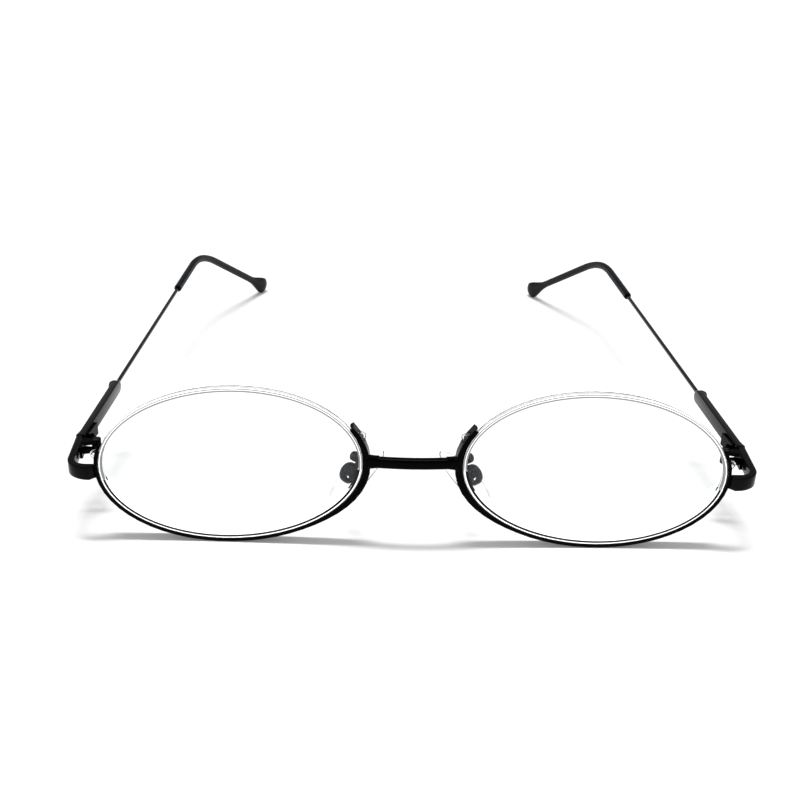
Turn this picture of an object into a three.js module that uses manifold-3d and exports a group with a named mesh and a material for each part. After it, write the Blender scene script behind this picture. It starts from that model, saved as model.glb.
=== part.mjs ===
// Under-rim eyeglasses: the metal rims run under the lenses and a nylon cord holds them from above.
// Millimetres, +Z up, resting open on a table: X across the face, Y from the front to the temple tips.
import * as THREE from 'three';
import { mergeVertices } from 'three/addons/utils/BufferGeometryUtils.js';
import Module from 'manifold-3d';

// Lenses
const LENS_WIDTH = 52;
const LENS_HEIGHT = 33.8;
const LENS_EDGE = 2.1;
const LENS_BULGE = 1.3;
const GROOVE_WIDTH = 0.8;
const GROOVE_DEPTH = 0.75;

// How the two ovals stand: the gap between them and their angles in degrees
const LENS_GAP = 19.6;
const FRONT_LEAN = 1.5;
const FRONT_WRAP = 1;
const LENS_DROOP = 4.5;

// Rims, channelled on the inside, with the height in degrees of each end above the oval's long axis
const RIM_WIDTH = 0.75;
const RIM_DEPTH = 2.7;
const RIM_NOSE_SWELL = 0.82;
const SWELL_MIDDLE = -165;
const SWELL_RANGE = 50;
const RIM_CORNER = 0.18;
const CHANNEL_WIDTH = 1;
const CHANNEL_DEPTH = 0.4;
const RIM_NOSE_END = 23;
const RIM_TEMPLE_END = 16;
const LINER_WIDTH = 0.5;
const LINER_TONGUE = 0.28;

// Nylon cords and the two holes that they loop through, at these distances from the rim's ends
const CORD_DIAMETER = 0.5;
const CORD_SINK = 0.12;
const CORD_LOOP = 0.75;
const CORD_TAIL = 1;
const CORD_HOLE = 1;
const TEMPLE_HOLE = 0.8;
const NOSE_HOLE = 1.7;
const HOLE_SPACING = 1.6;

// Bridge
const BRIDGE_HEIGHT = 2.3;
const BRIDGE_DEPTH = 1.8;
const BRIDGE_CORNER = 0.75;
const BRIDGE_BOW = 0.8;
const BRIDGE_RISE = 1.3;

// End pieces: how far they stand out past the lens and lie below its middle, and their splay in degrees
const END_OUT = 7.2;
const END_DROP = 0.9;
const END_SPLAY = 2.7;
const END_HEIGHT = 2.9;
const END_THICKNESS = 1.4;
const END_FRONT_THICKNESS = 1.8;
const END_PROUD = 0.6;
const END_CHAMFER = 0.9;
const END_OUTER_RADIUS = 4.6;
const END_INNER_RADIUS = 2.6;
const END_REACH = 12.9;
const EDGE_BEVEL = 0.2;

// Hinges
const HINGE_INSET = 4.3;
const HINGE_BACK = 11.6;
const BARREL_DIAMETER = 2;
const KNUCKLE_HEIGHT = 0.85;
const KNUCKLE_GAP = 0.1;
const LEAF_THICKNESS = 0.6;
const FRONT_LEAF_LENGTH = 4.2;
const TEMPLE_LEAF_LENGTH = 5.2;
const LEAF_MARGIN = 0.2;
const LEAF_SETBACK = 0.8;
const SCREW_DIAMETER = 0.9;
const SCREW_HEAD = 1.4;
const SCREW_HEAD_HEIGHT = 0.45;
const SLOT_WIDTH = 0.3;
const SLOT_DEPTH = 0.2;

// Temples
const TOE_IN = 6.3;
const TEMPLE_RISE = 3.55;
const BAR_LENGTH = 25.9;
const BAR_HEIGHT = 3;
const BAR_THICKNESS = 1.5;
const HEAD_SWELL = 0.3;
const HEAD_FLAT = 1.2;
const HEAD_LENGTH = 4;
const KNOB_SWELL = 0.6;
const WIRE_DIAMETER = 0.92;
const WIRE_SOCKET = 2;
const SLEEVE_START = 79.2;
const BEND_START = 95.3;
const BEND_RADIUS = 27;
const BEND_INWARD = 22;
const TIP_REACH = 31;
const SLEEVE_DIAMETER = 1.95;
const PADDLE_HEIGHT = 5.5;
const PADDLE_THICKNESS = 2.6;
const PADDLE_LENGTH = 10;
const WIRE_SHORT_OF_END = 9;
const TIP_END_SHARE = 0.3;

// Nose pads, with the pad's middle measured from the midline, the lens plane and the table
const PAD_LENGTH = 15.8;
const PAD_WIDTH = 7;
const PAD_THICKNESS = 2;
const PAD_TAPER = 0.14;
const PAD_FULLNESS = 0.6;
const PAD_OUT = 11.05;
const PAD_BACK = 5.95;
const PAD_HEIGHT = 12.45;
const PAD_FRONTAL = 44;
const PAD_SPLAY = 26;
const BOX_DIAMETER = 4.3;
const BOX_DEPTH = 1.8;
const BOX_WALL = 0.4;
const BOX_ROUND = 0.9;
const NOTCH_LENGTH = 1.2;
const NOTCH_WIDTH = 0.5;
const BOX_TO_PAD = 0.5;
const RIVET_DIAMETER = 0.9;
const LUG_THICKNESS = 1;
const LUG_EYE = 1.15;
const LUG_FOOT = 2.4;
const LUG_FOOT_THICKNESS = 0.5;
const PAD_SCREW_DIAMETER = 0.6;
const ARM_DIAMETER = 1.05;
const ARM_FOOT = -169;
const ARM_LOOP_HEIGHT = 2.15;
const ARM_LOOP_OUT = 0.95;
const ARM_LOOP_BACK = 4.4;
const ARM_LOOP_WIDTH = 1.35;

// Clearances between pieces
const SEAT_GAP = 0.15;
const SOLDER_GAP = 0.05;
const RUN_GAP = 0.1;
const MITRE_GAP = 0.2;

// Facets: sides of round sections and steps along curves
const OVAL_SEGMENTS = 56;
const LENS_RINGS = 3;
const CORNER_STEPS = 6;
const RIM_STEPS = 34;
const BRIDGE_STEPS = 10;
const BRIDGE_CORNER_STEPS = 3;
const BOX_STEPS = 2;
const ROUND_SIDES = 14;
const WIRE_SIDES = 7;
const TIP_SIDES = 10;
const BEND_STEPS = 10;
const SWELL_STEPS = 5;
const CAP_STEPS = 5;
const CORD_SIDES = 6;
const CORD_GUIDES = 9;
const CORD_STEPS = 66;
const ARM_SIDES = 8;
const ARM_STEPS = 18;
const PAD_SIDES = 26;
const PAD_RINGS = 6;

const rad = THREE.MathUtils.degToRad;
const at = (x, y, z = 0) => new THREE.Vector3(x, y, z);

const lensHalfWidth = LENS_WIDTH / 2;
const lensHalfHeight = LENS_HEIGHT / 2;
const rimInside = SEAT_GAP;
const rimOutside = rimInside + RIM_WIDTH;
const rimWidest = RIM_WIDTH + RIM_NOSE_SWELL;
const rimFront = LENS_EDGE / 2;
const rimRear = rimFront - RIM_DEPTH;
const barrelRadius = BARREL_DIAMETER / 2;
const boreRadius = SCREW_DIAMETER / 2 + RUN_GAP;
const endOuterX = LENS_GAP / 2 + LENS_WIDTH + END_OUT;
const endSplay = rad(END_SPLAY);
const hingeX = insideEnd(HINGE_INSET, HINGE_BACK);
const wireRadius = WIRE_DIAMETER / 2;

const wasm = await Module();
wasm.setup();

// Solids: joins and cuts of closed meshes

function toSolid(geometry) {
  const bare = geometry.clone();
  bare.deleteAttribute('normal');
  bare.deleteAttribute('uv');
  const welded = mergeVertices(bare);
  const index = welded.index.array;
  const faces = [];
  for (let i = 0; i < index.length; i += 3) {
    const [a, b, c] = index.slice(i, i + 3);
    if (a !== b && b !== c && c !== a) faces.push(a, b, c);
  }
  const mesh = new wasm.Mesh({
    numProp: 3,
    vertProperties: new Float32Array(welded.attributes.position.array),
    triVerts: new Uint32Array(faces),
  });
  return new wasm.Manifold(mesh);
}

function toGeometry(solid) {
  const mesh = solid.getMesh();
  const geometry = new THREE.BufferGeometry();
  geometry.setAttribute('position', new THREE.BufferAttribute(mesh.vertProperties, 3));
  geometry.setIndex(new THREE.BufferAttribute(mesh.triVerts, 1));
  geometry.computeVertexNormals();
  return geometry;
}

function cut(geometry, ...tools) {
  let solid = toSolid(geometry);
  for (const tool of tools) solid = solid.subtract(toSolid(tool));
  return toGeometry(solid);
}

function join(geometry, ...others) {
  let solid = toSolid(geometry);
  for (const other of others) solid = solid.add(toSolid(other));
  return toGeometry(solid);
}

// Shapes shared by many pieces

function rod(diameter, length, sides = ROUND_SIDES) {
  const geometry = new THREE.CylinderGeometry(diameter / 2, diameter / 2, length, sides);
  return geometry.rotateX(Math.PI / 2);
}

function box(width, depth, height, centre) {
  return new THREE.BoxGeometry(width, depth, height).translate(centre.x, centre.y, centre.z);
}

function polygon(points) {
  return new THREE.Shape(points.map(([x, y]) => new THREE.Vector2(x, y)));
}

function roundedBar(width, height, corner) {
  const x = width / 2;
  const y = height / 2;
  const shape = new THREE.Shape();
  shape.moveTo(-x + corner, -y);
  shape.lineTo(x - corner, -y);
  shape.absarc(x - corner, -y + corner, corner, -Math.PI / 2, 0);
  shape.absarc(x - corner, y - corner, corner, 0, Math.PI / 2);
  shape.absarc(-x + corner, y - corner, corner, Math.PI / 2, Math.PI);
  shape.absarc(-x + corner, -y + corner, corner, Math.PI, Math.PI * 1.5);
  return shape;
}

function disc(diameter) {
  return new THREE.Shape().absarc(0, 0, diameter / 2, 0, Math.PI * 2);
}

function slab(shape, height, bevel = 0) {
  const options = { depth: height - 2 * bevel, curveSegments: CORNER_STEPS, bevelEnabled: bevel > 0 };
  Object.assign(options, { bevelSize: bevel, bevelThickness: bevel, bevelOffset: -bevel, bevelSegments: 1 });
  return new THREE.ExtrudeGeometry(shape, options).translate(0, 0, bevel - height / 2);
}

function sweep(shape, path, steps, curveSegments) {
  return new THREE.ExtrudeGeometry(shape, { extrudePath: path, steps, curveSegments, bevelEnabled: false });
}

// Closed skin over a row of rings that all have the same number of points, with flat ends
function skin(rings) {
  const sides = rings[0].length;
  const outline = rings[0].map((point) => new THREE.Vector2(point.u, point.v));
  const caps = THREE.ShapeUtils.triangulateShape(outline, []);
  const last = (rings.length - 1) * sides;
  const faces = [];
  for (let i = 0; i < last; i += sides) {
    for (let k = 0; k < sides; k += 1) {
      const here = i + k;
      const next = i + ((k + 1) % sides);
      faces.push(here, here + sides, next, next, here + sides, next + sides);
    }
  }
  for (const [a, b, c] of caps) faces.push(a, b, c, last + a, last + c, last + b);
  const geometry = new THREE.BufferGeometry().setFromPoints(rings.flat().map((point) => point.place));
  geometry.setIndex(faces);
  return geometry;
}

// A tube of upright oval section whose half sizes change along its path
function loft(path, distances, sides, halfSizesAt) {
  const length = path.getLength();
  const rings = distances.map((distance) => {
    const centre = path.getPoint(distance / length);
    const along = path.getTangent(distance / length);
    const across = at(along.y, -along.x).normalize();
    const upward = across.clone().cross(along);
    const [halfAcross, halfUpward] = halfSizesAt(distance);
    const ring = [];
    for (let k = 0; k < sides; k += 1) {
      const turn = (2 * Math.PI * k) / sides;
      const u = halfAcross * Math.cos(turn);
      const v = halfUpward * Math.sin(turn);
      ring.push({ u, v, place: centre.clone().addScaledVector(across, u).addScaledVector(upward, v) });
    }
    return ring;
  });
  return skin(rings);
}

// The lens oval, in the lens plane: X towards the temple, Y up, Z towards the front

function ovalPoint(angle, outward) {
  const x = lensHalfWidth * Math.cos(angle);
  const y = lensHalfHeight * Math.sin(angle);
  const normal = at(lensHalfHeight * Math.cos(angle), lensHalfWidth * Math.sin(angle)).normalize();
  return at(x, y).addScaledVector(normal, outward);
}

function ovalTurn(angle, distance) {
  const x = lensHalfWidth * Math.sin(angle);
  const y = lensHalfHeight * Math.cos(angle);
  return angle + distance / Math.hypot(x, y);
}

// A bar along the oval, whose section is a list of places outward from the oval and towards the front
function ovalBar(from, to, sectionAt) {
  const rings = [];
  for (let i = 0; i <= RIM_STEPS; i += 1) {
    const angle = THREE.MathUtils.lerp(from, to, i / RIM_STEPS);
    rings.push(sectionAt(angle).map(([forward, outward]) => {
      return { u: forward, v: outward, place: ovalPoint(angle, outward).setZ(forward) };
    }));
  }
  return skin(rings);
}

// Outside of the rim, which swells towards the nose where bridge and pad arm are soldered to it
function rimOutsideAt(angle) {
  const away = THREE.MathUtils.clamp((angle - rad(SWELL_MIDDLE)) / rad(SWELL_RANGE), -1, 1);
  return rimOutside + RIM_NOSE_SWELL * (1 + Math.cos(Math.PI * away)) / 2;
}

const rimTempleEnd = rad(RIM_TEMPLE_END);
const rimNoseEnd = rad(-180 - RIM_NOSE_END);
const templeHoles = [TEMPLE_HOLE, TEMPLE_HOLE + HOLE_SPACING].map((d) => ovalTurn(rimTempleEnd, -d));
const noseHoles = [NOSE_HOLE, NOSE_HOLE + HOLE_SPACING].map((d) => ovalTurn(rimNoseEnd, d));

// Height of the oval's middle that sets the rim's lowest point on the table
function lensMiddleHeight() {
  const droop = rad(LENS_DROOP);
  const lean = rad(FRONT_LEAN);
  const across = (lensHalfWidth + rimOutside) * Math.sin(droop);
  const upright = (lensHalfHeight + rimOutside) * Math.cos(droop);
  return Math.hypot(across, upright) * Math.cos(lean) + rimFront * Math.sin(lean);
}

const lensMiddle = lensMiddleHeight();
const hingeMiddle = lensMiddle - END_DROP - END_HEIGHT / 2;

// Group that carries one lens plane on the given side, +1 or -1
function lensPlane(side) {
  const wrap = rad(FRONT_WRAP);
  const plane = new THREE.Group();
  const out = LENS_GAP / 2 + lensHalfWidth * Math.cos(wrap);
  plane.position.set(side * out, lensHalfWidth * Math.sin(wrap), lensMiddle);
  plane.rotation.order = 'ZXY';
  plane.rotation.set(Math.PI / 2 + rad(FRONT_LEAN), 0, side * wrap);
  plane.rotateZ(-side * rad(LENS_DROOP));
  plane.updateMatrix();
  return plane;
}

function fromLensPlane(point) {
  return point.clone().applyMatrix4(lensPlane(1).matrix);
}

// The room that a rim and its lens need, for saddle cuts in what is soldered to the rim
function rimRoom(side) {
  const outline = [];
  const steps = 4 * OVAL_SEGMENTS;
  for (let k = 0; k < steps; k += 1) {
    const angle = (2 * Math.PI * k) / steps - 1.5 * Math.PI;
    const point = ovalPoint(angle, rimOutsideAt(angle) + SOLDER_GAP);
    outline.push([side * point.x, point.y]);
  }
  const room = slab(polygon(outline), RIM_DEPTH + 2 * SOLDER_GAP).translate(0, 0, (rimFront + rimRear) / 2);
  return room.applyMatrix4(lensPlane(side).matrix);
}

// Lens, rim, liner and cord, built in the lens plane

function lensGeometry() {
  const edge = LENS_EDGE / 2;
  const front = [];
  const back = [];
  for (let k = 0; k < LENS_RINGS; k += 1) {
    const share = k / LENS_RINGS;
    const bulge = LENS_BULGE * (1 - share * share);
    front.push([share * lensHalfWidth, bulge + edge]);
    back.unshift([share * lensHalfWidth, bulge - edge]);
  }
  const floor = lensHalfWidth - GROOVE_DEPTH;
  const mouth = GROOVE_WIDTH / 2;
  const edgeFront = [[lensHalfWidth, edge], [lensHalfWidth, mouth], [floor, mouth]];
  const edgeRear = edgeFront.map(([r, z]) => [r, -z]).reverse();
  const outline = [...front, ...edgeFront, ...edgeRear, ...back];
  const points = outline.map(([r, z]) => new THREE.Vector2(r, z)).reverse();
  const turned = new THREE.LatheGeometry(points, OVAL_SEGMENTS).rotateX(Math.PI / 2);
  return turned.scale(1, lensHalfHeight / lensHalfWidth, 1);
}

function rimSection(angle) {
  const outside = rimOutsideAt(angle);
  const wall = CHANNEL_WIDTH / 2;
  const floor = rimInside + CHANNEL_DEPTH;
  const shoulder = outside - RIM_CORNER;
  const front = [[wall, floor], [wall, rimInside], [rimFront, rimInside], [rimFront, shoulder],
    [rimFront - RIM_CORNER, outside]];
  const rear = [[rimRear + RIM_CORNER, outside], [rimRear, shoulder], [rimRear, rimInside], [-wall, rimInside],
    [-wall, floor]];
  return [...front, ...rear];
}

function rimGeometry() {
  const rim = ovalBar(rimTempleEnd, rimNoseEnd, rimSection);
  const holes = [...templeHoles, ...noseHoles].map((angle) => cordHole(angle));
  return cut(rim, ...holes);
}

function cordHole(angle) {
  const outward = ovalPoint(angle, 1).sub(ovalPoint(angle, 0));
  const middle = ovalPoint(angle, rimOutsideAt(angle));
  const hole = new THREE.CylinderGeometry(CORD_HOLE / 2, CORD_HOLE / 2, 2 * rimWidest, ROUND_SIDES);
  hole.applyQuaternion(new THREE.Quaternion().setFromUnitVectors(at(0, 1), outward));
  return hole.translate(middle.x, middle.y, 0);
}

function linerGeometry() {
  const top = rimInside + CHANNEL_DEPTH - RUN_GAP;
  const x = LINER_WIDTH / 2;
  const section = [[x, top], [-x, top], [-x, -LINER_TONGUE], [x, -LINER_TONGUE]];
  const clear = CORD_TAIL + CORD_HOLE;
  const from = ovalTurn(templeHoles[1], -clear);
  const to = ovalTurn(noseHoles[1], clear);
  return ovalBar(from, to, () => section);
}

// Route of the cord at one rim end: out of the first hole, over in a loop and into the second hole
function cordLoop([first, second], alongRim) {
  const bend = alongRim * CORD_HOLE;
  const middle = (first + second) / 2;
  return [
    ovalPoint(ovalTurn(first, -bend), -CORD_SINK),
    ovalPoint(first, rimInside),
    ovalPoint(first, rimOutsideAt(first)),
    ovalPoint(middle, rimOutsideAt(middle) + CORD_LOOP),
    ovalPoint(second, rimOutsideAt(second)),
    ovalPoint(second, rimInside),
    ovalPoint(ovalTurn(second, alongRim * CORD_TAIL), -CORD_SINK),
  ];
}

class CordPath extends THREE.CatmullRomCurve3 {
  getPointAt(t) {
    return this.getPoint(t);
  }

  getTangentAt(t) {
    return this.getTangent(t);
  }

  getSpacedPoints(steps) {
    return this.getPoints(steps);
  }
}

function cordGeometry() {
  const templeLoop = cordLoop(templeHoles, -1).reverse();
  const noseLoop = cordLoop(noseHoles, 1);
  const from = rimTempleEnd;
  const to = rimNoseEnd + 2 * Math.PI;
  const overLens = [];
  for (let k = 0; k < CORD_GUIDES; k += 1) {
    overLens.push(ovalPoint(THREE.MathUtils.lerp(from, to, (k + 0.5) / CORD_GUIDES), -CORD_SINK));
  }
  const path = new CordPath([...templeLoop, ...overLens, ...noseLoop]);
  return sweep(disc(CORD_DIAMETER), path, CORD_STEPS, CORD_SIDES / 2);
}

// Bridge: a bar bowed towards the front, saddle-cut to both rims
function bridgeGeometry() {
  const reach = LENS_GAP / 2;
  const height = lensMiddle + BRIDGE_RISE;
  const ends = [at(-reach, 0, height), at(0, -2 * BRIDGE_BOW, height), at(reach, 0, height)];
  const path = new THREE.QuadraticBezierCurve3(...ends);
  const section = roundedBar(BRIDGE_HEIGHT, BRIDGE_DEPTH, BRIDGE_CORNER);
  return cut(sweep(section, path, BRIDGE_STEPS, BRIDGE_CORNER_STEPS), rimRoom(1), rimRoom(-1));
}

// X of a place that lies a distance inside the splayed outer side of the end piece
function insideEnd(distance, y) {
  return endOuterX - (distance + (END_REACH - y) * Math.sin(endSplay)) / Math.cos(endSplay);
}

// End piece: a strap from the rim round the corner and back to the hinge
function endPieceGeometry() {
  const saddle = fromLensPlane(ovalPoint(0, 0));
  const front = saddle.y - rimFront - END_PROUD;
  const rimEdge = fromLensPlane(ovalPoint(0, rimOutside)).x;
  const innerFront = front + END_FRONT_THICKNESS;
  const bend = at(insideEnd(END_OUTER_RADIUS, front + END_OUTER_RADIUS), front + END_OUTER_RADIUS);
  const innerBack = innerFront + END_INNER_RADIUS;
  const innerBend = at(insideEnd(END_THICKNESS + END_INNER_RADIUS, innerBack), innerBack);
  const rear = END_REACH + END_THICKNESS * Math.sin(endSplay);
  const shape = new THREE.Shape();
  shape.moveTo(saddle.x, front + END_CHAMFER);
  shape.lineTo(rimEdge, front + END_CHAMFER);
  shape.lineTo(rimEdge + END_CHAMFER, front);
  shape.absarc(bend.x, bend.y, END_OUTER_RADIUS, -Math.PI / 2, -endSplay);
  shape.lineTo(endOuterX, END_REACH);
  shape.lineTo(insideEnd(END_THICKNESS, rear), rear);
  shape.absarc(innerBend.x, innerBend.y, END_INNER_RADIUS, -endSplay, -Math.PI / 2, true);
  shape.lineTo(saddle.x, innerFront);
  const strap = slab(shape, END_HEIGHT, EDGE_BEVEL).translate(0, 0, hingeMiddle);
  return cut(strap, rimRoom(1));
}

// Hinge pieces, built about the hinge axis with Z along it and X towards the outside

const knuckleStep = KNUCKLE_HEIGHT + KNUCKLE_GAP;
const barrelTop = knuckleStep + KNUCKLE_HEIGHT / 2;

// One knuckle with a web that reaches to a leaf between two places along it
function knuckle(leafX, webFrom, webTo) {
  const web = polygon([[leafX, webFrom], [leafX, webTo], [0, Math.sign(webTo) * barrelRadius], [0, 0]]);
  const ring = rod(BARREL_DIAMETER, KNUCKLE_HEIGHT);
  return join(ring, slab(web, KNUCKLE_HEIGHT));
}

function frontLeafGeometry() {
  const outer = HINGE_INSET - END_THICKNESS - SOLDER_GAP;
  const inner = outer - LEAF_THICKNESS;
  const rear = END_REACH - HINGE_BACK - LEAF_SETBACK;
  const middle = at(outer - LEAF_THICKNESS / 2, rear - FRONT_LEAF_LENGTH / 2);
  const leaf = box(LEAF_THICKNESS, FRONT_LEAF_LENGTH, END_HEIGHT - 2 * LEAF_MARGIN, middle);
  const reach = inner + LEAF_THICKNESS / 2;
  const upper = knuckle(reach, rear, rear - FRONT_LEAF_LENGTH / 2).translate(0, 0, knuckleStep);
  const lower = knuckle(reach, rear, rear - FRONT_LEAF_LENGTH / 2).translate(0, 0, -knuckleStep);
  const bore = rod(2 * boreRadius, 3 * knuckleStep);
  const seat = rod(SCREW_HEAD + 2 * RUN_GAP, 2 * (SCREW_HEAD_HEIGHT + RUN_GAP)).translate(0, 0, barrelTop);
  return cut(join(leaf, upper, lower), bore, seat);
}

function templeLeafGeometry() {
  const outer = barOuter - BAR_THICKNESS - SOLDER_GAP;
  const front = mitreAt(outer) + LEAF_SETBACK;
  const middle = at(outer - LEAF_THICKNESS / 2, front + TEMPLE_LEAF_LENGTH / 2);
  const leaf = box(LEAF_THICKNESS, TEMPLE_LEAF_LENGTH, BAR_HEIGHT - 2 * LEAF_MARGIN, middle);
  const reach = outer - LEAF_THICKNESS / 2;
  const web = knuckle(reach, front, front + TEMPLE_LEAF_LENGTH / 2);
  return cut(join(leaf, web), rod(2 * boreRadius, 3 * knuckleStep));
}

function hingeScrewGeometry() {
  const intoHead = SCREW_HEAD_HEIGHT / 2;
  const shank = rod(SCREW_DIAMETER, 2 * barrelTop - intoHead).translate(0, 0, -intoHead / 2);
  const head = rod(SCREW_HEAD, SCREW_HEAD_HEIGHT).translate(0, 0, barrelTop - SCREW_HEAD_HEIGHT / 2);
  const slot = box(2 * SCREW_HEAD, SLOT_WIDTH, 2 * SLOT_DEPTH, at(0, 0, barrelTop));
  return cut(join(shank, head), slot);
}

// Temple pieces, in a frame at the hinge axis with Y along the temple

const barOuter = HINGE_INSET;
const wireX = barOuter + (KNOB_SWELL - BAR_THICKNESS) / 2;

// Front of the bar, which follows the rear of the splayed end piece
function mitreAt(x) {
  const turn = rad(TOE_IN) + endSplay;
  const endRear = HINGE_INSET * Math.tan(endSplay) + (END_REACH - HINGE_BACK) / Math.cos(endSplay);
  return (endRear + MITRE_GAP) / Math.cos(turn) - x * Math.tan(turn);
}

function barGeometry() {
  const radius = BAR_HEIGHT / 2;
  const rear = BAR_LENGTH - radius;
  const shape = new THREE.Shape();
  shape.moveTo(0, -radius);
  shape.lineTo(rear, -radius);
  shape.absarc(rear, 0, radius, -Math.PI / 2, Math.PI / 2);
  shape.lineTo(0, radius);
  const bar = slab(shape, BAR_THICKNESS, EDGE_BEVEL);
  bar.rotateX(Math.PI / 2).rotateZ(Math.PI / 2);
  bar.translate(barOuter - BAR_THICKNESS / 2, 0, 0);
  const knob = new THREE.CylinderGeometry(radius - KNOB_SWELL / 2, radius, KNOB_SWELL + RUN_GAP, ROUND_SIDES);
  knob.rotateZ(-Math.PI / 2).translate(barOuter + (KNOB_SWELL - RUN_GAP) / 2, rear, 0);
  const socket = rod(WIRE_DIAMETER + 2 * RUN_GAP, 2 * WIRE_SOCKET).rotateX(Math.PI / 2);
  socket.translate(wireX, BAR_LENGTH, 0);
  const headOuter = barOuter + HEAD_SWELL;
  const head = polygon([[barOuter - EDGE_BEVEL, 0], [headOuter, 0], [headOuter, HEAD_FLAT],
    [barOuter - EDGE_BEVEL, HEAD_LENGTH]]);
  const wide = 2 * HINGE_INSET;
  const mitre = polygon([[0, -BAR_HEIGHT], [wide, -BAR_HEIGHT], [wide, mitreAt(wide)], [0, mitreAt(0)]]);
  return cut(join(bar, knob, slab(head, BAR_HEIGHT - 2 * EDGE_BEVEL)), socket, slab(mitre, 2 * BAR_HEIGHT));
}

// Droop of the tip that sets its rounded paddle on the table, below the bend of the wire
function tipDroop() {
  const rise = rad(TEMPLE_RISE);
  const round = PADDLE_HEIGHT / 2;
  const bendHeight = hingeMiddle + BEND_START * Math.sin(rise);
  const fall = round - bendHeight + BEND_RADIUS * Math.cos(rise);
  const straight = TIP_REACH - round;
  return Math.acos(fall / Math.hypot(BEND_RADIUS, straight)) - Math.atan2(straight, BEND_RADIUS);
}

// Middle line of wire and tip: straight, then bent down and inward behind the ear
function templeLine() {
  const turn = tipDroop() + rad(TEMPLE_RISE);
  const path = new THREE.CurvePath();
  const bend = at(wireX, BEND_START);
  path.add(new THREE.LineCurve3(at(wireX, BAR_LENGTH - WIRE_SOCKET + SEAT_GAP), bend));
  const corner = bend.clone().add(at(0, BEND_RADIUS * Math.tan(turn / 2)));
  const inward = rad(BEND_INWARD);
  const onward = at(-Math.sin(inward) * Math.cos(turn), Math.cos(inward) * Math.cos(turn), -Math.sin(turn));
  const afterBend = corner.clone().addScaledVector(onward, BEND_RADIUS * Math.tan(turn / 2));
  path.add(new THREE.QuadraticBezierCurve3(bend, corner, afterBend));
  path.add(new THREE.LineCurve3(afterBend, afterBend.clone().addScaledVector(onward, TIP_REACH)));
  return path;
}

const line = templeLine();
const lineLength = line.getLength();
const bendFrom = line.curves[0].getLength();
const bendTo = bendFrom + line.curves[1].getLength();
const sleeveFrom = SLEEVE_START - BAR_LENGTH + WIRE_SOCKET - SEAT_GAP;
const wireTo = lineLength - WIRE_SHORT_OF_END;

// Distances along the line between two others that follow its bend
function alongBend(from, to) {
  const marks = [from, to];
  for (let k = 0; k <= BEND_STEPS; k += 1) marks.push(THREE.MathUtils.lerp(bendFrom, bendTo, k / BEND_STEPS));
  return marks.sort((a, b) => a - b);
}

function wireGeometry() {
  return loft(line, alongBend(0, wireTo), WIRE_SIDES, () => [wireRadius, wireRadius]);
}

// Half sizes of the tip: a round sleeve that swells into a flat paddle with a rounded end
function tipHalfSizes(distance) {
  const toEnd = lineLength - distance;
  const swell = THREE.MathUtils.smoothstep(PADDLE_LENGTH - toEnd, 0, PADDLE_LENGTH);
  const across = THREE.MathUtils.lerp(SLEEVE_DIAMETER, PADDLE_THICKNESS, swell) / 2;
  const upward = THREE.MathUtils.lerp(SLEEVE_DIAMETER, PADDLE_HEIGHT, swell) / 2;
  const radius = PADDLE_HEIGHT / 2;
  const inCap = Math.max(0, 1 - toEnd / radius);
  const round = Math.max(TIP_END_SHARE, Math.sqrt(1 - inCap * inCap));
  return [across * round, upward * round];
}

// Distances along the tip: the bend, the swell of the paddle and its rounded end
function alongTip() {
  const cap = PADDLE_HEIGHT / 2;
  const marks = alongBend(sleeveFrom, lineLength);
  for (let k = 0; k < SWELL_STEPS; k += 1) {
    marks.push(THREE.MathUtils.lerp(lineLength - PADDLE_LENGTH, lineLength - cap, k / SWELL_STEPS));
  }
  for (let k = 0; k < CAP_STEPS; k += 1) {
    marks.push(lineLength - cap * (1 - Math.sin((Math.PI / 2) * (k / CAP_STEPS))));
  }
  return marks.sort((a, b) => a - b);
}

function tipGeometry() {
  const body = loft(line, alongTip(), TIP_SIDES, tipHalfSizes);
  const bore = wireRadius + RUN_GAP;
  const core = loft(line, alongBend(sleeveFrom - SEAT_GAP, wireTo + SEAT_GAP), WIRE_SIDES, () => [bore, bore]);
  return cut(body, core);
}

// Nose pads: a frame at the pad's middle with Y up along the pad and Z away from the nose
function padFrame() {
  const frontal = rad(PAD_FRONTAL);
  const splay = rad(PAD_SPLAY);
  const up = at(-Math.sin(frontal), 0, Math.cos(frontal));
  const backward = at(Math.sin(splay), Math.cos(splay));
  const away = backward.clone().cross(up).normalize();
  const across = up.clone().cross(away);
  const frame = new THREE.Group();
  frame.quaternion.setFromRotationMatrix(new THREE.Matrix4().makeBasis(across, up, away));
  frame.position.set(PAD_OUT, PAD_BACK, PAD_HEIGHT);
  frame.updateMatrix();
  return frame;
}

const boxFront = PAD_THICKNESS / 2 + BOX_TO_PAD + BOX_DEPTH;
const pivotHeight = PAD_THICKNESS / 2 + BOX_TO_PAD + BOX_DEPTH / 2 - BOX_WALL / 2;

function padGeometry() {
  const half = PAD_THICKNESS / 2;
  const points = [];
  for (let k = 0; k <= PAD_RINGS; k += 1) {
    const slope = Math.PI * (k / PAD_RINGS - 0.5);
    points.push(new THREE.Vector2(Math.cos(slope) ** PAD_FULLNESS, half * Math.sin(slope)));
  }
  points[0].x = 0;
  points[PAD_RINGS].x = 0;
  const pad = new THREE.LatheGeometry(points, PAD_SIDES).rotateX(Math.PI / 2);
  const place = pad.attributes.position;
  for (let i = 0; i < place.count; i += 1) {
    const up = place.getY(i);
    const width = (PAD_WIDTH / 2) * (1 - PAD_TAPER * up);
    place.setXY(i, place.getX(i) * width, (up * PAD_LENGTH) / 2);
  }
  const pocket = rod(LUG_FOOT + 2 * RUN_GAP, 2 * (LUG_FOOT_THICKNESS + RUN_GAP));
  return cut(pad, pocket.translate(0, 0, half));
}

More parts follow.
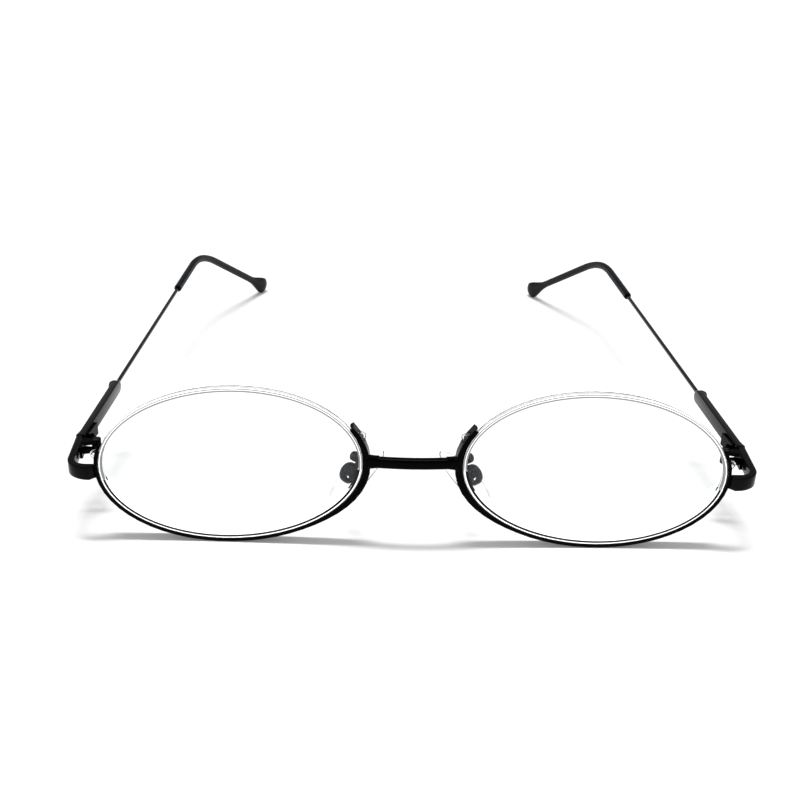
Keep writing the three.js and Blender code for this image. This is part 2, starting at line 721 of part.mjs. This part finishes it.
// Lug: a foot moulded into the pad, with an eye for the pad screw
function lugGeometry() {
  const half = PAD_THICKNESS / 2;
  const foot = rod(LUG_FOOT, LUG_FOOT_THICKNESS).translate(0, 0, half - LUG_FOOT_THICKNESS / 2);
  const neck = box(LUG_THICKNESS, LUG_THICKNESS, pivotHeight - half + LUG_FOOT_THICKNESS / 2,
    at(0, 0, (pivotHeight + half - LUG_FOOT_THICKNESS / 2) / 2));
  const eye = rod(LUG_EYE, LUG_THICKNESS).rotateY(Math.PI / 2).translate(0, 0, pivotHeight);
  const hole = rod(PAD_SCREW_DIAMETER + 2 * RUN_GAP, 2 * LUG_THICKNESS).rotateY(Math.PI / 2);
  return cut(join(foot, neck, eye), hole.translate(0, 0, pivotHeight));
}

// Pad box: a round cup open towards the pad, with a rivet boss and a notch in its closed face
function padBoxGeometry() {
  const outer = BOX_DIAMETER / 2;
  const inner = outer - BOX_WALL;
  const rear = boxFront - BOX_DEPTH;
  const profile = new THREE.Path();
  profile.moveTo(0, rear);
  profile.lineTo(outer, rear);
  profile.absarc(outer - BOX_ROUND, boxFront - BOX_ROUND, BOX_ROUND, 0, Math.PI / 2);
  profile.lineTo(0, boxFront);
  const cup = new THREE.LatheGeometry(profile.getPoints(BOX_STEPS), 2 * ROUND_SIDES).rotateX(Math.PI / 2);
  const hollow = rod(2 * inner, 2 * (BOX_DEPTH - BOX_WALL), 2 * ROUND_SIDES).translate(0, 0, rear);
  const rivet = new THREE.SphereGeometry(RIVET_DIAMETER / 2, ROUND_SIDES, CAP_STEPS).translate(0, 0, boxFront);
  const hole = rod(PAD_SCREW_DIAMETER + 2 * RUN_GAP, 2 * BOX_DIAMETER).rotateY(Math.PI / 2);
  const notch = box(2 * NOTCH_LENGTH, NOTCH_WIDTH, 3 * BOX_WALL, at(-outer, 0, boxFront));
  return cut(join(cup, rivet), hollow, hole.translate(0, 0, pivotHeight), notch);
}

// Pad screw: headless, flush with the sides of the cup
function padScrewGeometry() {
  return rod(PAD_SCREW_DIAMETER, BOX_DIAMETER - BOX_WALL / 2).rotateY(Math.PI / 2);
}

// Pad arm: a wire from the back of the rim, up and over in a hairpin and down to the pad box
function armGeometry() {
  const onRim = fromLensPlane(ovalPoint(rad(ARM_FOOT), rimInside + RIM_WIDTH / 2).setZ(rimRear));
  const foot = onRim.clone().add(at(0, SOLDER_GAP));
  const frame = padFrame();
  const boxTop = at(0, BOX_DIAMETER / 2 + SOLDER_GAP, boxFront - BOX_DEPTH / 2);
  const onBox = boxTop.clone().applyMatrix4(frame.matrix);
  const aboveBox = boxTop.clone().add(at(0, ARM_DIAMETER)).applyMatrix4(frame.matrix);
  const top = at((foot.x + onBox.x) / 2 + ARM_LOOP_OUT, ARM_LOOP_BACK, foot.z + ARM_LOOP_HEIGHT);
  const half = ARM_LOOP_WIDTH / 2;
  const frontLeg = top.clone().add(at(-half, -half, -half));
  const rearLeg = top.clone().add(at(half, half, -ARM_LOOP_WIDTH));
  const behindRim = foot.clone().add(at(0, ARM_DIAMETER / 2));
  const path = new THREE.CatmullRomCurve3([foot, behindRim, frontLeg, top, rearLeg, aboveBox, onBox]);
  return sweep(disc(ARM_DIAMETER), path, ARM_STEPS, ARM_SIDES / 2);
}

// Materials from the photograph

const finish = (color, roughness, metalness) => new THREE.MeshStandardMaterial({ color, roughness, metalness });
const blackMetal = finish(0x101113, 0.22, 0.6);
const darkSteel = finish(0x3a3d42, 0.35, 0.9);
const tipPlastic = finish(0x15171c, 0.35, 0);
const clearLens = finish(0xf4f7f8, 0.03, 0);
const clearPlastic = finish(0xe9edf0, 0.25, 0);

function piece(name, geometry, material) {
  const mesh = new THREE.Mesh(geometry, material);
  mesh.name = name;
  return mesh;
}

// Assembly of one side; the left side is the right one mirrored

function eyePieces(side) {
  const plane = lensPlane(1);
  plane.add(piece(`lens_${side}`, toGeometry(toSolid(lensGeometry())), clearLens));
  plane.add(piece(`rim_${side}`, rimGeometry(), blackMetal));
  plane.add(piece(`rim_liner_${side}`, linerGeometry(), clearPlastic));
  plane.add(piece(`nylon_cord_${side}`, cordGeometry(), clearPlastic));
  return plane;
}

function hingePieces(side) {
  const hinge = new THREE.Group();
  hinge.position.set(hingeX, HINGE_BACK, hingeMiddle);
  hinge.rotation.z = -endSplay;
  hinge.add(piece(`front_hinge_leaf_${side}`, frontLeafGeometry(), blackMetal));
  hinge.add(piece(`hinge_screw_${side}`, hingeScrewGeometry(), darkSteel));
  return hinge;
}

function templePieces(side) {
  const temple = new THREE.Group();
  temple.position.set(hingeX, HINGE_BACK, hingeMiddle);
  temple.rotation.z = rad(TOE_IN);
  temple.add(piece(`temple_hinge_leaf_${side}`, templeLeafGeometry(), blackMetal));
  const rising = new THREE.Group();
  rising.rotation.x = rad(TEMPLE_RISE);
  rising.add(piece(`temple_bar_${side}`, barGeometry(), blackMetal));
  rising.add(piece(`temple_wire_${side}`, wireGeometry(), blackMetal));
  rising.add(piece(`temple_tip_${side}`, tipGeometry(), tipPlastic));
  temple.add(rising);
  return temple;
}

function padPieces(side) {
  const frame = padFrame();
  frame.add(piece(`nose_pad_${side}`, padGeometry(), clearPlastic));
  frame.add(piece(`pad_lug_${side}`, lugGeometry(), darkSteel));
  frame.add(piece(`pad_box_${side}`, padBoxGeometry(), darkSteel));
  const screw = piece(`pad_screw_${side}`, padScrewGeometry(), darkSteel);
  screw.position.z = pivotHeight;
  frame.add(screw);
  return frame;
}

function halfOfGlasses(side) {
  const half = new THREE.Group();
  half.add(eyePieces(side), hingePieces(side), templePieces(side), padPieces(side));
  half.add(piece(`end_piece_${side}`, endPieceGeometry(), blackMetal));
  half.add(piece(`pad_arm_${side}`, armGeometry(), darkSteel));
  return half;
}

const rightHalf = halfOfGlasses('right');
const leftHalf = halfOfGlasses('left');
leftHalf.scale.x = -1;

const glasses = new THREE.Group();
glasses.add(leftHalf, rightHalf, piece('bridge', bridgeGeometry(), blackMetal));

// Origin at the middle of the footprint, on the table
const extent = new THREE.Box3().setFromObject(glasses, true);
const middle = extent.getCenter(new THREE.Vector3());
glasses.position.set(-middle.x, -middle.y, -extent.min.z);

export default glasses;
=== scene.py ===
"""Under-rim eyeglasses: looks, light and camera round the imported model. Metres, +Z up."""
import math

import bpy
from mathutils import Matrix, Vector


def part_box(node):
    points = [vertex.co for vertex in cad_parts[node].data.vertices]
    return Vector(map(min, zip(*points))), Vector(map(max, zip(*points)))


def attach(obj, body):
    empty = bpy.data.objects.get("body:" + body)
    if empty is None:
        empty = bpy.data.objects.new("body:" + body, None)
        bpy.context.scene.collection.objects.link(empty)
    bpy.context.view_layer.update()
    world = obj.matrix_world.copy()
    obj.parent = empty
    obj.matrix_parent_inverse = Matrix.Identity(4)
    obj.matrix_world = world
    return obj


# Camera: place, aim in degrees, focal length and frame width in millimetres, sideways shift, nearest distance
CAMERA_PLACE = (-0.00965, -0.2686, 0.12805)
CAMERA_PITCH = 25.9
CAMERA_YAW = -0.07
CAMERA_ROLL = 0.95
CAMERA_FOCAL = 51.75
CAMERA_FRAME = 36.0
CAMERA_SHIFT = 0.046
CAMERA_NEAREST = 0.01

# Floor and light
WHITE = (1.0, 1.0, 1.0, 1.0)
FLOOR_SIZE = 12.0
FLOOR_COLOUR = (0.9, 0.9, 0.9, 1.0)
FLOOR_ROUGHNESS = 0.9
FLOOR_GLOW = 0.12
SKY_GLOW = 0.38
LIGHT_HEIGHT = 6.0
LIGHT_PLACES = (-0.85, 0.25)
LIGHT_WIDTH = 2.2
LIGHT_DEPTH = 0.9
LIGHT_POWER = 150.0

# Texture: fineness of noise, the part of its range that is used, the ends of colour ramps, strength of bumps
NOISE_DETAIL = 3.0
NOISE_RANGE = (0.3, 0.7)
RAMP_ENDS = (0.35, 0.7)
BUMP_STRENGTH = 0.5

# Finish of edges: angle in degrees above which an edge is sharp, reach of the weld, rounding and bevel
SHARP_ANGLE = 32.0
WELD_REACH = 0.000001
EDGE_RADIUS = 0.00012
EDGE_SEGMENTS = 2
LENS_BEVEL = 0.00016
LENS_BEVEL_SEGMENTS = 1

# Lens: half width and height, and droop of its outer end in degrees
LENS_HALF = (0.026, 0.0169)
LENS_DROOP = 4.5

# Widths on the lens from its outline inwards: ground margin with a painted glow, painted shade line below and
# above, band of painted glow below
LENS_GROUND_GLOW_MARGIN = 0.00037
LENS_SHADE_LINE = 0.0005
LENS_UPPER_SHADE_LINE = 0.0003
LENS_INNER_GLOW_BAND = 0.0012

# Heights on the lens as shares of its half height: top of the lower part, and of the inner band of painted
# glow at the nose
LENS_LOWER_PART = -0.12
LENS_INNER_GLOW_BAND_PART = -0.37

# Tones on the lens: painted glow of the margin and band, weight of the upper painted shade line, clear colour
# and painted shade colour, ground roughness
LENS_PAINTED_GLOW = 0.75
LENS_UPPER_SHADE_WEIGHT = 0.55
LENS_CLEAR = (0.97, 0.98, 0.98)
LENS_PAINTED_SHADE = (0.006, 0.006, 0.007)
LENS_GROUND_ROUGHNESS = 0.6

# A face looks to the front where the Y of its normal is below this
FRONT_FACING = -0.5

# Solder beads where the bridge meets the rims
BEAD_REACH = 0.0018
BEAD_SINK = 0.0005
BEAD_FLARE = 0.00022
BEAD_RINGS = 6
BEAD_SIDES = 28
BEAD_SQUARENESS = 4.0


def nodes_of(*names):
    """The model's nodes of these names, left, right or single."""
    found = []
    for name in names:
        for side in ("", "_left", "_right"):
            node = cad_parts.get(name + side)
            if node is not None:
                found.append(node)
    return found


# Helpers for materials

def new_material(name):
    material = bpy.data.materials.new(name)
    material.use_nodes = True
    return material, material.node_tree, material.node_tree.nodes["Principled BSDF"]


def set_sockets(shader, **values):
    for name, value in values.items():
        shader.inputs[name.replace("_", " ")].default_value = value


def noise(tree, grain):
    """Noise over the object's own coordinates, with features of about 1 / grain metres."""
    place = tree.nodes.new("ShaderNodeTexCoord")
    texture = tree.nodes.new("ShaderNodeTexNoise")
    texture.inputs["Scale"].default_value = grain
    texture.inputs["Detail"].default_value = NOISE_DETAIL
    tree.links.new(place.outputs["Object"], texture.inputs["Vector"])
    return texture.outputs["Fac"]


def blend(tree, factor, at_low, at_high, factor_range=(0.0, 1.0)):
    """A number that goes from at_low to at_high while a factor goes through its range."""
    spread = tree.nodes.new("ShaderNodeMapRange")
    spread.inputs["From Min"].default_value = factor_range[0]
    spread.inputs["From Max"].default_value = factor_range[1]
    spread.inputs["To Min"].default_value = at_low
    spread.inputs["To Max"].default_value = at_high
    tree.links.new(factor, spread.inputs["Value"])
    return spread.outputs["Result"]


def ramp(tree, factor, first, last):
    """A colour that goes from first to last with a factor."""
    colours = tree.nodes.new("ShaderNodeValToRGB")
    for element, position, colour in zip(colours.color_ramp.elements, RAMP_ENDS, (first, last)):
        element.position = position
        element.color = (*colour, 1.0)
    tree.links.new(factor, colours.inputs["Fac"])
    return colours.outputs["Color"]


def vary_colour(tree, shader, grain, dark, light):
    tree.links.new(ramp(tree, noise(tree, grain), dark, light), shader.inputs["Base Color"])


def vary_number(tree, socket, grain, low, high):
    tree.links.new(blend(tree, noise(tree, grain), low, high, NOISE_RANGE), socket)


def add_bump(tree, shader, grain, depth):
    bump = tree.nodes.new("ShaderNodeBump")
    bump.inputs["Distance"].default_value = depth
    bump.inputs["Strength"].default_value = BUMP_STRENGTH
    tree.links.new(noise(tree, grain), bump.inputs["Height"])
    tree.links.new(bump.outputs["Normal"], shader.inputs["Normal"])


def paint_outline_shade(tree, shader, middle, outline, breadth):
    """Paint shade into the colour of a clear moulding, darker where it turns away from view."""
    layer = tree.nodes.new("ShaderNodeLayerWeight")
    layer.inputs["Blend"].default_value = breadth
    tree.links.new(ramp(tree, layer.outputs["Facing"], middle, outline), shader.inputs["Base Color"])


def calculate(tree, operation, first, second=None):
    """Result of a math node whose inputs are numbers or other results."""
    step = tree.nodes.new("ShaderNodeMath")
    step.operation = operation
    for socket, value in zip(step.inputs, (first, second)):
        if isinstance(value, bpy.types.NodeSocket):
            tree.links.new(value, socket)
        elif value is not None:
            socket.default_value = value
    return step.outputs["Value"]


def hypotenuse(tree, first, second):
    squares = [calculate(tree, "POWER", side, 2.0) for side in (first, second)]
    return calculate(tree, "SQRT", calculate(tree, "ADD", *squares))


def coordinates(tree, kind):
    """X, Y and Z of a kind of texture coordinate."""
    place = tree.nodes.new("ShaderNodeTexCoord")
    parts = tree.nodes.new("ShaderNodeSeparateXYZ")
    tree.links.new(place.outputs[kind], parts.inputs["Vector"])
    return [parts.outputs[axis] for axis in "XYZ"]


# Metal and plastic

def black_lacquer(name, specular, dark, light):
    """Gloss black lacquer on metal, with faint orange peel."""
    material, tree, shader = new_material(name)
    set_sockets(shader, Specular_IOR_Level=specular)
    vary_colour(tree, shader, grain=350.0, dark=dark, light=light)
    vary_number(tree, shader.inputs["Roughness"], grain=500.0, low=0.08, high=0.18)
    add_bump(tree, shader, grain=900.0, depth=0.000006)
    return material


def dark_plate():
    """Satin dark plate on steel."""
    material, tree, shader = new_material("dark_plate")
    set_sockets(shader, Specular_IOR_Level=0.08)
    vary_colour(tree, shader, grain=1200.0, dark=(0.012, 0.014, 0.016), light=(0.024, 0.028, 0.032))
    vary_number(tree, shader.inputs["Roughness"], grain=2500.0, low=0.3, high=0.5)
    add_bump(tree, shader, grain=4000.0, depth=0.000008)
    return material


def tip_plastic():
    """Blue-black moulded plastic of the temple tips."""
    material, tree, shader = new_material("tip_plastic")
    set_sockets(shader, Specular_IOR_Level=0.09)
    vary_colour(tree, shader, grain=400.0, dark=(0.003, 0.004, 0.006), light=(0.006, 0.0075, 0.01))
    vary_number(tree, shader.inputs["Roughness"], grain=800.0, low=0.3, high=0.45)
    add_bump(tree, shader, grain=1500.0, depth=0.00001)
    return material


# Lenses

def share_of_half(tree, along, across):
    return [calculate(tree, "DIVIDE", value, half) for value, half in zip((along, across), LENS_HALF)]


def lens_place(tree):
    """Place on either lens along its own width and height, as shares of its half sizes."""
    lowest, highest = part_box("lens_right")
    middle = [(lowest[axis] + highest[axis]) / 2 for axis in (0, 2)]
    x, _, z = coordinates(tree, "Object")
    sideways = calculate(tree, "SUBTRACT", calculate(tree, "ABSOLUTE", x), middle[0])
    upward = calculate(tree, "SUBTRACT", z, middle[1])
    droop = math.radians(LENS_DROOP)
    cosine, sine = math.cos(droop), math.sin(droop)
    along = calculate(tree, "SUBTRACT", calculate(tree, "MULTIPLY", sideways, cosine),
                      calculate(tree, "MULTIPLY", upward, sine))
    across = calculate(tree, "ADD", calculate(tree, "MULTIPLY", sideways, sine),
                       calculate(tree, "MULTIPLY", upward, cosine))
    return share_of_half(tree, along, across)


def inside_outline(tree, along, across):
    """Distance of a place on a lens from the lens outline, in metres."""
    share = hypotenuse(tree, along, across)
    slope = hypotenuse(tree, *share_of_half(tree, along, across))
    missing = calculate(tree, "MULTIPLY", calculate(tree, "SUBTRACT", 1.0, share), share)
    return calculate(tree, "DIVIDE", missing, slope)


def front_side(tree):
    """One on the faces of a node that look to the front."""
    _, y, _ = coordinates(tree, "Normal")
    return calculate(tree, "LESS_THAN", y, FRONT_FACING)


def lower_part(tree, across):
    return calculate(tree, "LESS_THAN", across, LENS_LOWER_PART)


def glow_band_place(tree, along, low, across):
    """One where the inner band of painted glow runs: lower down at the nose, to leave the pad boxes in sight.
    """
    outer = calculate(tree, "MULTIPLY", low, calculate(tree, "GREATER_THAN", along, 0.0))
    return calculate(tree, "MAXIMUM", outer, calculate(tree, "LESS_THAN", across, LENS_INNER_GLOW_BAND_PART))


def painted_lens_edge(tree):
    """Masks of the painted glow and of the painted shade line along the edge of a lens, and the weight of the
    line, lighter in the upper part.
    """
    along, across = lens_place(tree)
    depth = inside_outline(tree, along, across)
    front = front_side(tree)
    low = lower_part(tree, across)
    # Painted light and shade at the lens edge: a glowing ground margin, a dark line inside it on the front
    # face, lighter in the upper part, and a glowing band inside that in the lower part.
    margin = calculate(tree, "LESS_THAN", depth, LENS_GROUND_GLOW_MARGIN)
    shade_line_end = blend(tree, low, LENS_GROUND_GLOW_MARGIN + LENS_UPPER_SHADE_LINE, LENS_GROUND_GLOW_MARGIN + LENS_SHADE_LINE)
    to_shade_line_end = calculate(tree, "LESS_THAN", depth, shade_line_end)
    to_glow_band_end = calculate(tree, "LESS_THAN", depth, LENS_GROUND_GLOW_MARGIN + LENS_SHADE_LINE + LENS_INNER_GLOW_BAND)
    line = calculate(tree, "MULTIPLY", calculate(tree, "SUBTRACT", to_shade_line_end, margin), front)
    inner = calculate(tree, "MULTIPLY", calculate(tree, "SUBTRACT", to_glow_band_end, to_shade_line_end), front)
    band = calculate(tree, "MULTIPLY", inner, glow_band_place(tree, along, low, across))
    glowing_parts = calculate(tree, "ADD", margin, band)
    return glowing_parts, line, blend(tree, low, LENS_UPPER_SHADE_WEIGHT, 1.0)


def clear_lens():
    """Polished, coated lens. Its ground edge has a painted glow, with a painted shade line in it."""
    material, tree, shader = new_material("clear_lens")
    set_sockets(shader, IOR=1.25, Emission_Color=WHITE)
    glowing_parts, line, weight = painted_lens_edge(tree)
    ground = calculate(tree, "ADD", glowing_parts, line)
    # Painted shade: the dark line, lighter in the upper part.
    colour = ramp(tree, calculate(tree, "MULTIPLY", line, weight), LENS_CLEAR, LENS_PAINTED_SHADE)
    tree.links.new(colour, shader.inputs["Base Color"])
    # Painted glow on the margin and the inner band.
    tree.links.new(blend(tree, glowing_parts, 0.0, LENS_PAINTED_GLOW), shader.inputs["Emission Strength"])
    tree.links.new(blend(tree, ground, 1.0, 0.0), shader.inputs["Transmission Weight"])
    tree.links.new(blend(tree, ground, 0.0, LENS_GROUND_ROUGHNESS), shader.inputs["Roughness"])
    add_bump(tree, shader, grain=3000.0, depth=0.000001)
    return material


def lens_bevel():
    """Narrow ground bevel round both faces of a lens, with a painted glow where it is low."""
    material, tree, shader = new_material("lens_bevel")
    set_sockets(shader, Specular_IOR_Level=0.2, Emission_Color=WHITE)
    _, across = lens_place(tree)
    # Painted glow on the lower part of the bevel.
    glow = blend(tree, lower_part(tree, across), 0.0, LENS_PAINTED_GLOW)
    tree.links.new(glow, shader.inputs["Emission Strength"])
    vary_colour(tree, shader, grain=2000.0, dark=(0.34, 0.345, 0.35), light=(0.42, 0.425, 0.43))
    vary_number(tree, shader.inputs["Roughness"], grain=3000.0, low=0.4, high=0.6)
    return material


# Nylon and silicone

def clear_nylon():
    """Drawn nylon of the cords: clear, with a faint milky streak."""
    material, tree, shader = new_material("clear_nylon")
    set_sockets(shader, IOR=1.2, Roughness=0.05)
    # Painted shade darkens the cord towards its outline.
    paint_outline_shade(tree, shader, middle=(0.97, 0.97, 0.97), outline=(0.1, 0.1, 0.11), breadth=0.6)
    vary_number(tree, shader.inputs["Transmission Weight"], grain=700.0, low=0.9, high=1.0)
    add_bump(tree, shader, grain=2500.0, depth=0.000005)
    return material


def milky_nylon():
    """Milky nylon of the liners that show white between lens and rim."""
    material, tree, shader = new_material("milky_nylon")
    set_sockets(shader, Specular_IOR_Level=0.2)
    vary_colour(tree, shader, grain=500.0, dark=(0.86, 0.86, 0.87), light=(0.93, 0.93, 0.94))
    vary_number(tree, shader.inputs["Roughness"], grain=900.0, low=0.4, high=0.55)
    add_bump(tree, shader, grain=1500.0, depth=0.000005)
    return material


def pad_silicone():
    """Clear moulded silicone of the nose pads, with a faint ripple from the mould."""
    material, tree, shader = new_material("pad_silicone")
    set_sockets(shader, Transmission_Weight=1.0, IOR=1.1, Roughness=0.03)
    # Painted shade darkens the pad towards its outline.
    paint_outline_shade(tree, shader, middle=(0.985, 0.985, 0.99), outline=(0.33, 0.33, 0.37), breadth=0.36)
    add_bump(tree, shader, grain=600.0, depth=0.00002)
    return material


# Edges

def join_faces(node):
    """Join the faces of a node at their shared corners, for smooth shading across them."""
    node.data.polygons.foreach_set("use_smooth", [True] * len(node.data.polygons))
    weld = node.modifiers.new("shared_corners", "WELD")
    weld.merge_threshold = WELD_REACH


def keep_sharp(node):
    """Keep edges sharper than SHARP_ANGLE crisp."""
    split = node.modifiers.new("sharp_edges", "EDGE_SPLIT")
    split.split_angle = math.radians(SHARP_ANGLE)
    split.use_edge_sharp = False


def round_edges(node, width, segments):
    bevel = node.modifiers.new("edge_radius", "BEVEL")
    bevel.width = width
    bevel.segments = segments
    bevel.limit_method = "ANGLE"
    bevel.angle_limit = math.radians(SHARP_ANGLE)
    return bevel


def bevel_lens(lens, finish):
    """Grind a narrow bevel of its own finish round both faces of a lens."""
    bevel = round_edges(lens, LENS_BEVEL, LENS_BEVEL_SEGMENTS)
    bevel.material = len(lens.data.materials)
    lens.data.materials.append(finish)


def finish_edges():
    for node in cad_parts.values():
        join_faces(node)
    for node in nodes_of("end_piece", "temple_bar", "hinge_screw"):
        round_edges(node, EDGE_RADIUS, EDGE_SEGMENTS)
    finish = lens_bevel()
    for lens in nodes_of("lens"):
        bevel_lens(lens, finish)
    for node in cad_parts.values():
        keep_sharp(node)


# Solder beads

def end_section(node, side):
    """Outermost place of a node along X on one side, with the middle and half size of its section there."""
    points = [corner.co for corner in node.data.vertices]
    reach = max(side * point.x for point in points)
    near = [point for point in points if side * point.x > reach - BEAD_REACH]
    lowest = [min(point[axis] for point in near) for axis in (1, 2)]
    highest = [max(point[axis] for point in near) for axis in (1, 2)]
    middle = [(low + high) / 2 for low, high in zip(lowest, highest)]
    half = [(high - low) / 2 for low, high in zip(lowest, highest)]
    return side * reach, middle, half


def squircle(half):
    """Points round a rounded rectangle of these half sizes."""
    points = []
    for number in range(BEAD_SIDES):
        angle = math.tau * number / BEAD_SIDES
        across, up = math.cos(angle), math.sin(angle)
        powers = abs(across) ** BEAD_SQUARENESS + abs(up) ** BEAD_SQUARENESS
        radius = powers ** (-1 / BEAD_SQUARENESS)
        points.append((half[0] * radius * across, half[1] * radius * up))
    return points


def bead_corners(side):
    """Rings of points from inside the rim to the bare bridge, the widest first."""
    reach, middle, half = end_section(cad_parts["bridge"], side)
    corners = []
    for ring in range(BEAD_RINGS):
        along = ring / (BEAD_RINGS - 1)
        flare = BEAD_FLARE * (1.0 - along) ** 2
        place = reach + side * (BEAD_SINK - along * (BEAD_SINK + BEAD_REACH))
        for across, up in squircle([size + flare for size in half]):
            corners.append((place, middle[0] - side * across, middle[1] + up))
    return corners


def bead_faces():
    """Both end caps and the bands between the rings, all facing out."""
    last_ring = (BEAD_RINGS - 1) * BEAD_SIDES
    faces = [list(reversed(range(BEAD_SIDES))), list(range(last_ring, last_ring + BEAD_SIDES))]
    for low in range(0, last_ring, BEAD_SIDES):
        high = low + BEAD_SIDES
        for number in range(BEAD_SIDES):
            follower = (number + 1) % BEAD_SIDES
            faces.append([low + number, low + follower, high + follower, high + number])
    return faces


def add_solder_bead(name, side, finish):
    """A flared bead of solder that closes the joint between one end of the bridge and its rim."""
    faces = bead_faces()
    mesh = bpy.data.meshes.new(name)
    mesh.from_pydata(bead_corners(side), [], faces)
    mesh.polygons.foreach_set("use_smooth", [True] * len(faces))
    mesh.materials.append(finish)
    bead = bpy.data.objects.new(name, mesh)
    bpy.context.scene.collection.objects.link(bead)
    keep_sharp(bead)
    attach(bead, "front")


# Dressing

def dress(material, *names):
    for node in nodes_of(*names):
        node.data.materials.clear()
        node.data.materials.append(material)


def dress_metal():
    """Lacquer and plate on the metal pieces, and solder at the bridge. The lacquers are copies of one black
    paint with tones set per piece for the light on it: a darker copy on the rims, bridge and hinge leaves, a
    lighter one on the end pieces and a glossier one on the temples.
    """
    # Darker copy of the black paint: painted shade on the rims, bridge, hinge leaves and solder.
    shaded_lacquer = black_lacquer("shaded_black_lacquer", specular=0.025,
                         dark=(0.0004, 0.0004, 0.0005), light=(0.0009, 0.0009, 0.001))
    dress(shaded_lacquer, "rim", "bridge", "front_hinge_leaf", "temple_hinge_leaf")
    add_solder_bead("bridge_solder_left", -1, shaded_lacquer)
    add_solder_bead("bridge_solder_right", 1, shaded_lacquer)
    # Lighter copy of the same paint: painted light on the end pieces.
    lacquer = black_lacquer("black_lacquer", specular=0.05,
                            dark=(0.0022, 0.0023, 0.0028), light=(0.0042, 0.0043, 0.005))
    dress(lacquer, "end_piece")
    glossy = black_lacquer("temple_lacquer", specular=0.3,
                           dark=(0.001, 0.0011, 0.0013), light=(0.0022, 0.0023, 0.0027))
    dress(glossy, "temple_bar", "temple_wire")
    dress(dark_plate(), "hinge_screw", "pad_arm", "pad_box", "pad_lug", "pad_screw")


def dress_plastic():
    """Plastic, lens, nylon and silicone. What light passes through casts no shadow on the floor."""
    dress(tip_plastic(), "temple_tip")
    dress(clear_lens(), "lens")
    dress(clear_nylon(), "nylon_cord")
    dress(milky_nylon(), "rim_liner")
    dress(pad_silicone(), "nose_pad")
    for node in nodes_of("lens", "nylon_cord", "rim_liner", "nose_pad"):
        node.visible_shadow = False


# Scene

def add_camera():
    pitch, yaw, roll = [math.radians(angle) for angle in (CAMERA_PITCH, CAMERA_YAW, CAMERA_ROLL)]
    level = Vector((math.cos(yaw), -math.sin(yaw), 0.0))
    ahead = Vector((math.sin(yaw), math.cos(yaw), 0.0))
    forward = math.cos(pitch) * ahead - math.sin(pitch) * Vector((0.0, 0.0, 1.0))
    upward = level.cross(forward)
    right = math.cos(roll) * level + math.sin(roll) * upward
    up = math.cos(roll) * upward - math.sin(roll) * level
    turn = Matrix((right, up, -forward)).transposed()
    data = bpy.data.cameras.new("camera")
    data.lens = CAMERA_FOCAL
    data.sensor_width = CAMERA_FRAME
    data.shift_x = CAMERA_SHIFT
    data.clip_start = CAMERA_NEAREST
    camera = bpy.data.objects.new("camera", data)
    camera.matrix_world = Matrix.Translation(CAMERA_PLACE) @ turn.to_4x4()
    bpy.context.scene.collection.objects.link(camera)
    bpy.context.scene.camera = camera


def add_floor():
    half = FLOOR_SIZE / 2
    mesh = bpy.data.meshes.new("floor")
    corners = [(-half, -half, 0.0), (half, -half, 0.0), (half, half, 0.0), (-half, half, 0.0)]
    mesh.from_pydata(corners, [], [(0, 1, 2, 3)])
    material, _, shader = new_material("floor_white")
    set_sockets(shader, Base_Color=FLOOR_COLOUR, Roughness=FLOOR_ROUGHNESS, Specular_IOR_Level=0.0)
    set_sockets(shader, Emission_Color=WHITE, Emission_Strength=FLOOR_GLOW)
    mesh.materials.append(material)
    floor = bpy.data.objects.new("floor", mesh)
    bpy.context.scene.collection.objects.link(floor)


def add_lights():
    """Two wide soft lights high above the glasses, side by side."""
    for number, sideways in enumerate(LIGHT_PLACES):
        data = bpy.data.lights.new(f"top_light_{number}", "AREA")
        data.shape = "ELLIPSE"
        data.size = LIGHT_WIDTH
        data.size_y = LIGHT_DEPTH
        data.energy = LIGHT_POWER
        light = bpy.data.objects.new(data.name, data)
        light.location = (sideways, 0.0, LIGHT_HEIGHT)
        bpy.context.scene.collection.objects.link(light)


def add_sky():
    world = bpy.data.worlds.new("sky")
    world.use_nodes = True
    background = world.node_tree.nodes["Background"]
    background.inputs["Color"].default_value = WHITE
    background.inputs["Strength"].default_value = SKY_GLOW
    bpy.context.scene.world = world


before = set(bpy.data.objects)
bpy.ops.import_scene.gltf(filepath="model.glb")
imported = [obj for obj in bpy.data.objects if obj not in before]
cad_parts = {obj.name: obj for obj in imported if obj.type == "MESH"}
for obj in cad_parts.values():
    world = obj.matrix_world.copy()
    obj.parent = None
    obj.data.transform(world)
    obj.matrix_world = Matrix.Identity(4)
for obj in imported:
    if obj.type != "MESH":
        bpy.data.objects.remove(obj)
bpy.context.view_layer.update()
add_camera()
add_floor()
add_lights()
add_sky()
bpy.context.scene.view_settings.view_transform = "Standard"
dress_metal()
dress_plastic()
finish_edges()
